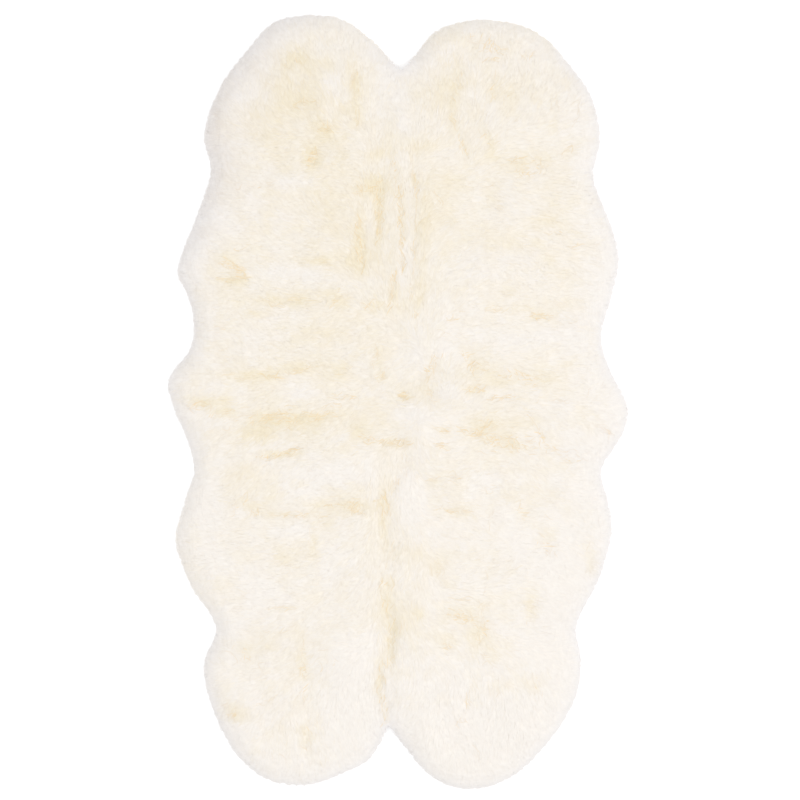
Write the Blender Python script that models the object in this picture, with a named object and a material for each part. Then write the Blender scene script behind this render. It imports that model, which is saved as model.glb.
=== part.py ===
"""Sheepskin rug of four pelts, lying flat with the wool side up.

Each pelt is a hide with its own fleece.  Two lie side by side at each end of the rug, rump to rump across
its middle, trimmed straight where they meet and sewn edge to edge.  A pelt is one closed solid: a flat
underside, a lumpy top that sinks along the seams, and an outer rim that rolls down to the floor in locks
of wool.  Metres, +Z up, +Y towards the upper end, origin on the floor at the middle of the rug.
"""

import math
import random

import bmesh
import bpy
from mathutils import Vector, noise
from mathutils.geometry import delaunay_2d_cdt, interpolate_bezier

MM = 0.001

# Fleece
PILE = 50 * MM  # hide and wool together, on the crown of a pelt
RIM_LIP = 5 * MM  # thickness of the outermost wool, where it meets the floor
ROLL = 48 * MM  # the rim's roll, from full height down to the floor
LUMPS = ((115 * MM, 4.5 * MM), (52 * MM, 2.5 * MM))  # size and height of the fleece's lumps, coarse and fine

# Seams
SEAM_GAP = 0.3 * MM
SEAM_DIP = 15 * MM
SEAM_WIDTH = 15 * MM  # half the width of the valley over a seam

# Locks of wool along the outer rim
LOCK_PITCH = 19 * MM
LOCK_DEPTH = 8 * MM  # from a lock's tip back to its root
LOCK_REACH = 2 * MM  # how far the tips stand out beyond the rim's mean line
LOCK_RIDGE = 3 * MM  # how far a lock stands out of the roll above it
LOCK_SHAPE = ((0.0, 0.0), (0.4, 0.75), (0.72, 1.0))  # share of the pitch, share of the way from root to tip
LOCK_SEED = 11

# Mesh
FLEECE_GRID = 29 * MM  # spacing of the points on the open fleece
FLEECE_SPACING = 16 * MM  # the least distance from one of them to any other point
RIM_RINGS = (7 * MM, 19 * MM, 38 * MM)  # distances in from the roots of the rim's locks
SEAM_ROWS = (6 * MM, 19 * MM)  # distances in from a seam
SEAM_STEP = 24 * MM
LEAST_SPACING = 6.5 * MM  # between points of the rows
EDGE_CLEAR = 5 * MM

# Seams, from the upper end to the lower end and from left to right: x, y in millimetres
CROSSING = (-6, 16)
CENTRE_SEAM_UPPER = ((7, 764), (8, 590), (8, 420), (-2, 210), CROSSING)
CENTRE_SEAM_LOWER = (CROSSING, (-8, -140), (-19, -300), (-20, -560), (-22, -745))
CROSS_SEAM_LEFT = ((-534, 32), (-270, 26), CROSSING)
CROSS_SEAM_RIGHT = (CROSSING, (270, 4), (534, -19))

# Outer rim of each pelt from the centre seam to the cross seam: landmark, x, y in millimetres
RIM_UPPER_LEFT = (
    ("neck, inner side", -41, 823),
    ("neck crown, inner", -122, 887),
    ("neck crown", -200, 900),
    ("neck crown, outer", -284, 885),
    ("neck, outer side", -345, 825),
    ("cheek, above", -412, 733),
    ("cheek", -451, 618),
    ("shoulder dip", -433, 543),
    ("foreleg, above", -468, 432),
    ("foreleg", -511, 305),
    ("foreleg, below", -489, 250),
    ("flank", -474, 180),
    ("hip, above", -484, 122),
    ("hip", -530, 62),
)
RIM_UPPER_RIGHT = (
    ("neck, inner side", 44, 812),
    ("neck crown, inner", 98, 868),
    ("neck crown", 205, 889),
    ("neck crown, outer", 318, 863),
    ("neck, outer side", 398, 786),
    ("cheek, above", 452, 704),
    ("cheek", 469, 608),
    ("shoulder dip", 453, 526),
    ("foreleg, above", 488, 428),
    ("foreleg", 513, 338),
    ("foreleg, below", 499, 255),
    ("flank", 471, 150),
    ("hip, above", 491, 78),
    ("hip", 528, 5),
)
RIM_LOWER_LEFT = (
    ("neck, inner side", -61, -823),
    ("neck crown, inner", -114, -855),
    ("neck crown", -212, -889),
    ("neck crown, outer", -308, -874),
    ("neck, outer side", -376, -816),
    ("cheek, below", -425, -726),
    ("cheek", -451, -612),
    ("shoulder dip", -422, -524),
    ("foreleg, below", -478, -430),
    ("foreleg", -516, -322),
    ("foreleg, above", -495, -229),
    ("flank", -473, -156),
    ("hip, below", -494, -74),
    ("hip", -522, -12),
)
RIM_LOWER_RIGHT = (
    ("neck, inner side", 22, -808),
    ("neck crown, inner", 80, -870),
    ("neck crown", 164, -899),
    ("neck crown, outer", 268, -868),
    ("neck, outer side", 352, -786),
    ("cheek, below", 410, -690),
    ("cheek", 425, -602),
    ("shoulder dip", 413, -523),
    ("foreleg, below", 466, -412),
    ("foreleg", 497, -298),
    ("foreleg, above", 486, -225),
    ("flank", 471, -160),
    ("hip, below", 500, -108),
    ("hip", 530, -58),
)

# Furrows where the wool parts: place, middle x and y, length, turn from the X axis in degrees, depth
FURROWS = (
    ("upper left, inner wither", -59, 419, 230, 76, 8),
    ("upper left, neck", -199, 563, 70, 60, 5),
    ("upper left, foreleg", -390, 292, 90, -35, 5),
    ("upper left, rib", -146, 319, 130, 0, 6),
    ("upper left, loin", -239, 237, 125, 5, 5),
    ("upper left, rump", -239, 72, 260, 10, 6),
    ("lower left, rump", -315, -37, 310, 3, 6),
    ("lower left, loin", -273, -123, 110, 12, 6),
    ("lower left, inner loin", -30, -91, 110, -5, 6),
    ("lower left, rib", -204, -240, 310, 0, 4),
    ("lower left, spine", -180, -265, 160, 90, 4),
    ("lower left, neck", -208, -660, 290, 90, 6),
    ("lower left, cheek", -398, -712, 80, 50, 5),
    ("upper right, crown", 192, 831, 100, 0, 5),
    ("upper right, shoulder", 285, 573, 110, 0, 4),
    ("upper right, loin", 332, 198, 100, -10, 5),
    ("upper right, rump", 255, 75, 190, -8, 5),
    ("lower right, rump", 262, -70, 200, -25, 7),
    ("lower right, rib", 198, -508, 100, -20, 4),
    ("lower right, shoulder", 308, -484, 160, 80, 6),
    ("lower right, foreleg", 446, -368, 150, 75, 4),
)
FURROW_WIDTH = 17 * MM  # half the width of a furrow

# name, side of the centre seam, side of the cross seam, outer rim, centre seam, cross seam, colour
PELTS = (
    ("pelt_upper_left", -1, 1, RIM_UPPER_LEFT, CENTRE_SEAM_UPPER, CROSS_SEAM_LEFT, (0.90, 0.84, 0.72)),
    ("pelt_upper_right", 1, 1, RIM_UPPER_RIGHT, CENTRE_SEAM_UPPER, CROSS_SEAM_RIGHT, (0.92, 0.87, 0.76)),
    ("pelt_lower_left", -1, -1, RIM_LOWER_LEFT, CENTRE_SEAM_LOWER, CROSS_SEAM_LEFT, (0.93, 0.88, 0.78)),
    ("pelt_lower_right", 1, -1, RIM_LOWER_RIGHT, CENTRE_SEAM_LOWER, CROSS_SEAM_RIGHT, (0.94, 0.90, 0.80)),
)


def clear_scene():
    for obj in list(bpy.data.objects):
        bpy.data.objects.remove(obj)


def in_metres(points):
    return [Vector((x, y)) * MM for x, y in points]


def smooth_curve(knots):
    """Points of a smooth curve through the knots.  A knot's handles lie along the line of its neighbours."""
    last = len(knots) - 1
    ways = [(knots[min(i + 1, last)] - knots[max(i - 1, 0)]).normalized() for i in range(last + 1)]
    points = []
    for i in range(last):
        start, end = knots[i], knots[i + 1]
        reach = (end - start).length / 3
        points += interpolate_bezier(start, start + ways[i] * reach, end - ways[i + 1] * reach, end, 14)[:-1]
    return points + [knots[-1]]


def lengths_along(path):
    lengths = [0.0]
    for start, end in zip(path, path[1:]):
        lengths.append(lengths[-1] + (end - start).length)
    return lengths


def point_along(path, lengths, wanted):
    """The point at that length along the path, and the path's direction there."""
    i = 0
    while i < len(path) - 2 and lengths[i + 1] < wanted:
        i += 1
    step = path[i + 1] - path[i]
    return path[i] + step * ((wanted - lengths[i]) / step.length), step.normalized()


def spaced_out(path, step):
    """Evenly spaced points of the path, about a step apart, both ends included."""
    lengths = lengths_along(path)
    count = max(1, round(lengths[-1] / step))
    return [point_along(path, lengths, lengths[-1] * i / count)[0] for i in range(count + 1)]


def distance_to(path, point):
    """The distance in the floor plane from a point to a path."""
    nearest = math.inf
    for start, end in zip(path, path[1:]):
        along = end - start
        share = max(0.0, min(1.0, (point - start).dot(along) / along.length_squared))
        nearest = min(nearest, (start + along * share - point).length)
    return nearest


def inside(loop, point):
    """Whether a point lies inside a closed loop, by the crossings of a ray along +X."""
    found = False
    for a, b in zip(loop, loop[1:] + loop[:1]):
        if (a.y > point.y) != (b.y > point.y):
            if point.x < a.x + (b.x - a.x) * (point.y - a.y) / (b.y - a.y):
                found = not found
    return found


class Pelt:
    """One pelt's outline in the floor plane and the height of its fleece."""

    def __init__(self, name, side, end, rim, centre_seam, cross_seam, colour):
        self.name = name
        self.side = side
        self.end = end
        self.colour = colour
        # Both seams run from the rim in to the crossing.
        centre = in_metres(centre_seam if end > 0 else centre_seam[::-1])
        cross = in_metres(cross_seam if side < 0 else cross_seam[::-1])
        self.seams = [smooth_curve(centre), smooth_curve(cross)]
        self.rim = smooth_curve(centre[:1] + in_metres(row[1:] for row in rim) + cross[:1])
        self.rim_lengths = lengths_along(self.rim)
        self.lock_count = round(self.rim_lengths[-1] / LOCK_PITCH)

    def rim_point(self, locks, inset):
        """The point that many locks along the rim from the centre seam, and that far in from it."""
        place, way = point_along(self.rim, self.rim_lengths, self.rim_lengths[-1] * locks / self.lock_count)
        inward = Vector((way.y, -way.x)) * (self.side * self.end)
        return place + inward * inset

    def rim_locks(self):
        """The outermost points, each with its share of a ridge.  A lock has a groove, a flank and a tip."""
        chance = random.Random(LOCK_SEED + 2 * self.side + self.end)
        points = []
        for lock in range(self.lock_count):
            depth = LOCK_DEPTH * chance.uniform(0.55, 1.0)
            lean = chance.uniform(-0.08, 0.08)
            for share, reach in LOCK_SHAPE:
                place = lock + share + (lean if share else 0.0)
                points.append((self.rim_point(place, depth * (1 - reach) - LOCK_REACH), reach))
        # The first groove is where the centre seam ends.
        return points[1:]

    def seam_edge(self):
        """The outline along the cross seam, from the rim inwards, and then out along the centre seam."""
        beside = Vector((self.side * SEAM_GAP / 2, 0))
        beyond = Vector((0, self.end * SEAM_GAP / 2))
        centre, cross = (spaced_out(seam, SEAM_STEP) for seam in self.seams)
        corner = cross[-1] + beside + beyond
        return [p + beyond for p in cross[:-1]] + [corner] + [p + beside for p in centre[-2::-1]]

    def inner_rows(self):
        """Points along the rim and the seams: point, share of a ridge, least distance to other points."""
        rows = []
        for ring in RIM_RINGS[:-1]:
            for half in range(1, 2 * self.lock_count):
                ridge = (1 if half % 2 else -1) * (1 - ring / RIM_RINGS[-1])
                rows.append((self.rim_point(half / 2, LOCK_DEPTH + ring), ridge, LEAST_SPACING))
        for lock in range(1, self.lock_count):
            rows.append((self.rim_point(lock, LOCK_DEPTH + RIM_RINGS[-1]), 0.0, LEAST_SPACING))
        for inset in SEAM_ROWS:
            for seam, away in zip(self.seams, (Vector((self.side, 0)), Vector((0, self.end)))):
                rows += [(p + away * inset, 0.0, LEAST_SPACING) for p in spaced_out(seam, SEAM_STEP)]
        return rows

    def open_fleece(self, loop):
        """Points of a triangular grid over the pelt, in the form of the rows."""
        low_x, high_x = (limit(p.x for p in loop) for limit in (min, max))
        low_y, high_y = (limit(p.y for p in loop) for limit in (min, max))
        row_step = FLEECE_GRID * math.sqrt(3) / 2
        points = []
        for row in range(int((high_y - low_y) / row_step) + 1):
            shift = FLEECE_GRID / 2 * (row % 2)
            for column in range(int((high_x - low_x) / FLEECE_GRID) + 1):
                point = Vector((low_x + column * FLEECE_GRID + shift, low_y + row * row_step))
                points.append((point, 0.0, FLEECE_SPACING))
        return points

    def surface_points(self, loop):
        """The points inside the outline, each with its share of a ridge, clear of it and of each other."""
        kept = []
        taken = list(loop)
        for point, ridge, spacing in self.inner_rows() + self.open_fleece(loop):
            if not inside(loop, point) or distance_to(loop + loop[:1], point) < EDGE_CLEAR:
                continue
            if min((point - other).length for other in taken) < spacing:
                continue
            kept.append((point, ridge))
            taken.append(point)
        return kept

    def height(self, point, ridge):
        """The top of the fleece over a point of the floor."""
        x, y = point
        roll = min(1.0, distance_to(self.rim, point) / ROLL)
        shoulder = math.sqrt(1 - (1 - roll) ** 2)
        top = PILE
        for size, lump in LUMPS:
            top += lump * noise.noise(Vector((x / size, y / size, size)))
        for seam in self.seams:
            top -= SEAM_DIP * math.exp(-((distance_to(seam, point) / SEAM_WIDTH) ** 2))
        for _, middle_x, middle_y, length, turn, depth in FURROWS:
            angle = math.radians(turn)
            away = point - Vector((middle_x, middle_y)) * MM
            along = away.x * math.cos(angle) + away.y * math.sin(angle)
            across = away.y * math.cos(angle) - away.x * math.sin(angle)
            fade = math.exp(-((2 * along / (length * MM)) ** 4))
            top -= depth * MM * fade * math.exp(-((across / FURROW_WIDTH) ** 2))
        return RIM_LIP + (top - RIM_LIP) * shoulder + LOCK_RIDGE * ridge

    def build(self, collection):
        """The closed solid: a flat sheet over the outline, extruded upwards to the height of the fleece."""
        edge = self.rim_locks() + [(p, 0.0) for p in self.seam_edge()]
        loop = [p for p, _ in edge]
        sheet = edge + self.surface_points(loop)
        edges = [(i, (i + 1) % len(loop)) for i in range(len(loop))]
        points, _, faces, sources, _, _ = delaunay_2d_cdt([p for p, _ in sheet], edges, [], 1, 1e-7)
        bm = bmesh.new()
        ridge = bm.verts.layers.float.new("ridge")
        for point, source in zip(points, sources):
            bm.verts.new((point.x, point.y, 0.0))[ridge] = sheet[source[0]][1]
        bm.verts.ensure_lookup_table()
        for face in faces:
            bm.faces.new([bm.verts[i] for i in face])
        raised = bmesh.ops.extrude_face_region(bm, geom=bm.faces[:])["geom"]
        for vert in (item for item in raised if isinstance(item, bmesh.types.BMVert)):
            vert.co.z = self.height(vert.co.xy, vert[ridge])
        bmesh.ops.recalc_face_normals(bm, faces=bm.faces[:])
        mesh = bpy.data.meshes.new(self.name)
        bm.to_mesh(mesh)
        bm.free()
        mesh.shade_smooth()
        mesh.set_sharp_from_angle(angle=math.radians(50))
        mesh.materials.append(wool_material(self.name, self.colour))
        collection.objects.link(bpy.data.objects.new(self.name, mesh))


def wool_material(name, colour):
    material = bpy.data.materials.new(name + "_wool")
    material.use_nodes = True
    shader = material.node_tree.nodes["Principled BSDF"]
    shader.inputs["Base Color"].default_value = (*colour, 1.0)
    shader.inputs["Roughness"].default_value = 0.95
    shader.inputs["Metallic"].default_value = 0.0
    return material


def main():
    clear_scene()
    rug = bpy.data.collections.new("sheepskin_rug")
    bpy.context.scene.collection.children.link(rug)
    for row in PELTS:
        Pelt(*row).build(rug)


main()
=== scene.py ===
"""Sheepskin rug of four pelts, wool side up on a pale floor, seen from straight above.

Each pelt is three pieces of wool over a hide: a dense undercoat that follows the height of the solids, the
locks of the open fleece, and the locks that roll over the rim.  Metres, +Z up, +Y towards the upper end.
"""

import math
from collections import namedtuple

import bmesh
import bpy
import numpy as np
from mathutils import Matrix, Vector
from mathutils.bvhtree import BVHTree
from mathutils.geometry import delaunay_2d_cdt
from mathutils.kdtree import KDTree


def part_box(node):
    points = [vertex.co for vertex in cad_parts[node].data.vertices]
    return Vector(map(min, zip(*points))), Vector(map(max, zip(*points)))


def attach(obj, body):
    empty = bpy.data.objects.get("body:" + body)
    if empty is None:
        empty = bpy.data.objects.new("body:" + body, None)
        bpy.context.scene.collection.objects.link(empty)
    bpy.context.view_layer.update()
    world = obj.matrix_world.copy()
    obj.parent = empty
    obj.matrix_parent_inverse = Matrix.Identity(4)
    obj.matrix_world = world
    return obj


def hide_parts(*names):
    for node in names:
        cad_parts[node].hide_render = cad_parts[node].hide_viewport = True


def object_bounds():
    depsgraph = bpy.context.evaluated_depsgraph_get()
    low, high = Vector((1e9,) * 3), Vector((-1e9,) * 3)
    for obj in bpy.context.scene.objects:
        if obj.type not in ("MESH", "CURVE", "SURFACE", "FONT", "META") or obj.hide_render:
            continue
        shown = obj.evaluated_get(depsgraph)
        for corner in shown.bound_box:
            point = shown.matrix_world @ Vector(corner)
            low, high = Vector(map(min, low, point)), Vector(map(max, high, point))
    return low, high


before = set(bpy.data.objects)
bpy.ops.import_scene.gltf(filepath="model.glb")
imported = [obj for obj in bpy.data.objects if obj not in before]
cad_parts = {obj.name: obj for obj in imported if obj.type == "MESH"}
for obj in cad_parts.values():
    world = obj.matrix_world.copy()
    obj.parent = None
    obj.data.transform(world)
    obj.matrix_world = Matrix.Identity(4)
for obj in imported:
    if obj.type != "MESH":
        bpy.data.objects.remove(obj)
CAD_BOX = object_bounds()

MM = 0.001
PELTS = ("pelt_upper_left", "pelt_upper_right", "pelt_lower_left", "pelt_lower_right")

# Fields over the floor
PITCH = 4 * MM
MARGIN = 48 * MM
SEAM_WIDTH = 1.6 * MM  # points of two outlines nearer than this lie on a seam
ROW_STEP = 0.87  # between the rows of a staggered grid, as a share of its step
FURROW_DEPTH = 3.2 * MM

# Locks in each pelt
CROWN_LOCKS = 26800
CURLED_LOCKS = 4200
RIM_LOCKS = 8600
STRAY_LOCKS = 300
# Where along a lock its pairs of points are, and how wide it is there.  Its tip is one point.
PLAIN = ((0.0, 0.6), (0.4, 1.0), (0.8, 0.7))
CURLED = ((0.0, 0.6), (0.22, 0.9), (0.44, 1.0), (0.66, 0.85), (0.85, 0.6))
HANGING = ((0.0, 0.6), (0.35, 1.0), (0.65, 0.8), (0.86, 0.5))
STRAY = ((0.0, 0.4), (0.2, 0.9), (0.42, 1.0), (0.65, 0.9), (0.85, 0.6))
# Least and most of the locks' sizes (mm)
LENGTH = (28, 48)
WIDTH = (1.8, 3.8)
TOP_WIDTH = (1.3, 2.2)
CURLED_WIDTH = (1.6, 2.6)
BARED_WIDTH = (1.5, 2.4)
STRAY_REACH = (12, 34)
STRAY_WIDTH = (1.3, 2.3)
TOP_SHARE = 0.12  # of the plain locks lie on top of the others
ROOT_DEPTH = 2.6 * MM
RIM_BAND = 52 * MM  # how far in from the rim its own locks reach
RIM_CALM = 40 * MM  # how far in from the rim the locks lie in good order
TUFT = 15 * MM  # spacing of the tufts that locks gather into

# Undercoat and hide.  Insets are from the outline of the solid's underside.
UNDERCOAT_GRID = 8.6 * MM
UNDERCOAT_DEPTH = 0.8 * MM
UNDERCOAT_INSET = 3 * MM
UNDERCOAT_LAP = 1.2 * MM  # over the seams
BROW_INSET = 5.5 * MM
BROW_DEPTH = 1 * MM
HIDE_INSET = 5 * MM
HIDE_THICKNESS = 1.8 * MM

# Places where the wool parts or curls:
# x, y, half length, half width (mm), turn (degrees), parting, warmth, curl
PARTINGS = (
    # upper left pelt
    (-240, 788, 34, 16, 0, 0.9, 0.4, 0.2),
    (-100, 745, 34, 14, 90, 1.0, 0.5, 0.2),
    (-95, 668, 24, 9, 92, 0.5, 0.4, 0.2),
    (-298, 735, 26, 12, 60, 0.8, 0.3, 0.2),
    (-215, 692, 26, 12, 20, 0.9, 0.6, 0.2),
    (-165, 628, 18, 12, 0, 0.9, 0.8, 0.2),
    (-197, 566, 20, 11, 80, 1.1, 1.0, 0.3),
    (-326, 616, 22, 10, 60, 0.8, 0.4, 0.2),
    (-409, 668, 26, 8, -25, 0.4, 0.3, 0.2),
    (-420, 482, 28, 6, 0, 0.5, 0.3, 0.2),
    (-320, 499, 42, 8, 10, 0.5, 0.4, 0.3),
    (-425, 438, 12, 7, 20, 0.7, 0.4, 0.2),
    (-385, 354, 48, 6, 8, 0.6, 0.5, 0.4),
    (-303, 366, 28, 5, 0, 0.6, 0.5, 0.3),
    (-378, 307, 34, 16, -25, 0.6, 0.8, 0.4),
    (-378, 284, 30, 7, 5, 0.9, 0.8, 0.2),
    (-192, 326, 50, 5, -8, 0.7, 0.4, 0.2),
    (-215, 237, 45, 6, 0, 0.8, 0.6, 0.3),
    (-297, 230, 30, 5, -15, 0.6, 0.5, 0.3),
    (-332, 200, 22, 5, -20, 0.6, 0.5, 0.4),
    (-143, 240, 26, 8, 55, 0.7, 0.5, 0.3),
    (-441, 235, 36, 4, 0, 0.7, 0.3, 0.1),
    (-413, 165, 34, 10, 0, 0.4, 0.3, 0.3),
    (-413, 126, 22, 5, 0, 0.7, 0.4, 0.2),
    (-239, 119, 16, 5, 0, 0.5, 0.4, 0.2),
    (-58, 221, 20, 12, 0, 1.1, 0.8, 0.3),
    (-52, 105, 26, 8, 75, 0.6, 0.5, 0.4),
    (-41, 63, 16, 8, 30, 0.8, 0.6, 0.3),
    (-127, 75, 22, 9, 10, 0.6, 0.5, 0.4),
    (-355, 60, 46, 8, 0, 0.7, 0.6, 0.2),
    (-262, 62, 44, 7, 8, 1.2, 0.7, 0.3),
    (-209, 80, 36, 7, 14, 0.9, 0.6, 0.3),
    # along the upper centre seam
    (-88, 372, 66, 10, 90, 1.5, 0.8, 0.4),
    (-43, 445, 82, 10, 88, 1.5, 0.8, 0.4),
    (-78, 492, 36, 13, 2, 1.0, 0.8, 0.3),
    (-22, 470, 100, 9, 88, 0.3, 0.3, 0.4),
    (-6, 517, 60, 5, 90, 0.6, 0.6, 0.6),
    (8, 395, 110, 4, 92, 1.2, 1.0, 0.4),
    (-14, 255, 60, 5, 80, 0.9, 0.8, 0.3),
    (38, 512, 32, 6, 95, 0.9, 0.8, 0.4),
    (38, 377, 140, 5, 87, 0.6, 0.5, 0.8),
    (38, 205, 11, 8, 60, 0.7, 0.5, 0.2),
    # upper right pelt
    (204, 828, 48, 18, -15, 0.4, 0.6, 0.4),
    (221, 813, 30, 5, 0, 0.9, 0.8, 0.2),
    (213, 789, 16, 5, 10, 0.8, 0.7, 0.2),
    (139, 743, 22, 6, 88, 0.6, 0.5, 0.2),
    (127, 668, 34, 6, 95, 0.5, 0.5, 0.2),
    (152, 587, 26, 8, -70, 0.8, 0.6, 0.3),
    (222, 731, 34, 10, 90, 0.4, 0.5, 0.2),
    (255, 708, 18, 10, 60, 0.4, 0.5, 0.2),
    (302, 801, 13, 9, 40, 0.8, 0.6, 0.2),
    (409, 666, 28, 8, 70, 0.5, 0.4, 0.2),
    (362, 692, 18, 14, 60, 0.4, 0.3, 0.2),
    (208, 610, 30, 16, -10, 0.4, 0.4, 0.4),
    (274, 563, 16, 6, 25, 0.9, 0.8, 0.2),
    (302, 540, 38, 24, 7, 0.3, 0.5, 0.5),
    (390, 582, 13, 6, 30, 0.9, 0.7, 0.2),
    (211, 503, 16, 5, -10, 0.7, 0.5, 0.2),
    (220, 454, 24, 10, -10, 0.4, 0.4, 0.4),
    (92, 470, 15, 5, -60, 0.7, 0.5, 0.2),
    (360, 391, 18, 5, 20, 0.8, 0.5, 0.2),
    (425, 363, 40, 5, 6, 0.7, 0.5, 0.3),
    (230, 214, 24, 8, 0, 0.6, 0.4, 0.2),
    (327, 200, 28, 8, -5, 0.9, 0.7, 0.2),
    (378, 191, 30, 7, -8, 0.5, 0.4, 0.3),
    (134, 198, 20, 14, 10, 0.6, 0.5, 0.2),
    (99, 156, 20, 8, 0, 0.4, 0.4, 0.2),
    (79, 84, 34, 14, 65, 0.6, 0.7, 1.0),
    (169, 93, 26, 12, -50, 0.7, 0.8, 0.9),
    (174, 28, 24, 10, 10, 0.7, 0.8, 0.8),
    (76, 14, 24, 10, -30, 0.6, 0.7, 0.9),
    (15, 14, 16, 7, -8, 1.0, 1.0, 0.2),
    (260, 63, 75, 20, -14, 0.4, 0.6, 0.8),
    (243, 12, 32, 6, 5, 0.9, 0.8, 0.3),
    (355, 2, 36, 4, 0, 0.5, 0.4, 0.2),
    (465, 28, 40, 9, 50, 0.5, 0.4, 0.2),
    # lower left pelt
    (-453, -7, 26, 14, 10, 0.5, 0.7, 0.3),
    (-410, -26, 34, 6, 12, 0.6, 0.6, 0.4),
    (-285, -37, 115, 26, 2, 0.4, 0.5, 0.7),
    (-227, -35, 115, 12, 6, 0.6, 0.7, 0.9),
    (-122, 12, 34, 6, -8, 0.6, 0.6, 0.4),
    (-157, -9, 34, 6, 10, 0.6, 0.7, 0.5),
    (-47, -86, 52, 7, -10, 0.9, 0.8, 0.3),
    (-273, -118, 50, 8, 13, 1.4, 1.0, 0.3),
    (-390, -95, 66, 5, 8, 0.5, 0.3, 0.2),
    (-365, -230, 24, 8, 50, 0.7, 0.6, 0.6),
    (-327, -254, 18, 12, 60, 0.9, 0.7, 0.4),
    (-239, -260, 75, 6, -3, 0.7, 0.6, 0.2),
    (-112, -232, 70, 7, 6, 0.6, 0.6, 0.3),
    (-95, -247, 20, 12, 0, 0.9, 0.8, 0.3),
    (-197, -360, 66, 5, 92, 0.5, 0.3, 0.2),
    (-262, -373, 28, 5, -8, 0.6, 0.4, 0.4),
    (-269, -473, 30, 5, 2, 0.9, 0.6, 0.2),
    (-290, -524, 60, 12, 8, 0.5, 0.4, 0.5),
    (-355, -582, 50, 26, -20, 0.4, 0.4, 1.0),
    (-162, -599, 45, 32, 40, 0.3, 0.3, 1.0),
    (-218, -619, 68, 7, 93, 0.7, 0.6, 0.5),
    (-213, -772, 30, 10, 96, 1.1, 0.5, 0.3),
    (-297, -690, 26, 8, 20, 0.5, 0.4, 0.6),
    (-392, -716, 30, 24, 20, 2.4, 0.5, 0.3),
    (-274, -813, 15, 10, 0, 0.6, 0.4, 0.2),
    # along the lower centre seam
    (-12, -92, 42, 7, 0, 1.9, 0.9, 0.2),
    (13, -135, 40, 10, 84, 1.8, 0.4, 0.2),
    (-8, -192, 30, 10, 55, 1.8, 0.5, 0.2),
    (-30, -240, 36, 11, 100, 2.2, 0.8, 0.3),
    (-32, -300, 42, 10, 95, 1.8, 0.4, 0.2),
    (-14, -350, 34, 12, 70, 1.6, 0.3, 0.2),
    (-27, -448, 62, 18, 92, 1.7, 0.5, 0.4),
    (-16, -560, 62, 12, 84, 2.2, 0.6, 0.2),
    (-39, -655, 60, 10, 92, 3.6, 0.6, 0.2),
    (-30, -725, 34, 9, 78, 3.4, 0.4, 0.2),
    # lower right pelt
    (104, -63, 22, 6, -5, 0.9, 0.9, 0.2),
    (99, -98, 17, 6, 0, 0.9, 0.8, 0.2),
    (162, -70, 24, 7, -12, 0.8, 0.8, 0.4),
    (197, -58, 30, 16, 35, 0.4, 0.6, 1.0),
    (262, -95, 62, 24, -10, 0.5, 0.7, 1.0),
    (322, -65, 34, 14, -60, 0.4, 0.7, 0.9),
    (367, -112, 50, 14, -12, 0.5, 0.5, 0.5),
    (406, -133, 30, 6, 0, 0.6, 0.5, 0.4),
    (483, -68, 34, 6, -28, 0.7, 0.5, 0.3),
    (111, -175, 62, 5, 3, 0.6, 0.5, 0.3),
    (220, -198, 26, 8, -5, 0.5, 0.4, 0.3),
    (127, -251, 38, 6, -3, 0.8, 0.7, 0.3),
    (288, -247, 20, 14, -40, 0.7, 0.5, 0.2),
    (332, -263, 22, 4, 0, 0.7, 0.4, 0.2),
    (213, -275, 22, 6, 80, 0.5, 0.3, 0.2),
    (343, -333, 34, 18, -60, 0.6, 0.5, 0.5),
    (443, -333, 90, 14, 82, 0.4, 0.3, 0.1),
    (92, -380, 24, 16, 80, 0.5, 0.4, 0.6),
    (204, -405, 34, 7, 85, 0.5, 0.4, 0.2),
    (146, -452, 30, 5, -6, 0.7, 0.5, 0.2),
    (313, -477, 34, 12, 75, 0.6, 0.4, 0.1),
    (192, -496, 34, 7, 80, 0.6, 0.5, 0.3),
    (163, -501, 50, 22, -12, 0.4, 0.6, 0.5),
    (197, -536, 22, 9, 60, 0.8, 0.6, 0.3),
    (115, -561, 15, 8, -5, 0.9, 0.8, 0.2),
    (211, -594, 24, 16, -30, 0.4, 0.4, 0.7),
    (225, -650, 20, 10, 80, 0.5, 0.4, 0.2),
    (320, -657, 34, 12, -70, 0.5, 0.4, 0.2),
    (162, -687, 26, 6, 90, 0.7, 0.5, 0.2),
    (153, -740, 16, 12, 0, 0.7, 0.5, 0.2),
    (183, -808, 20, 6, -60, 0.6, 0.4, 0.2),
)

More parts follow.
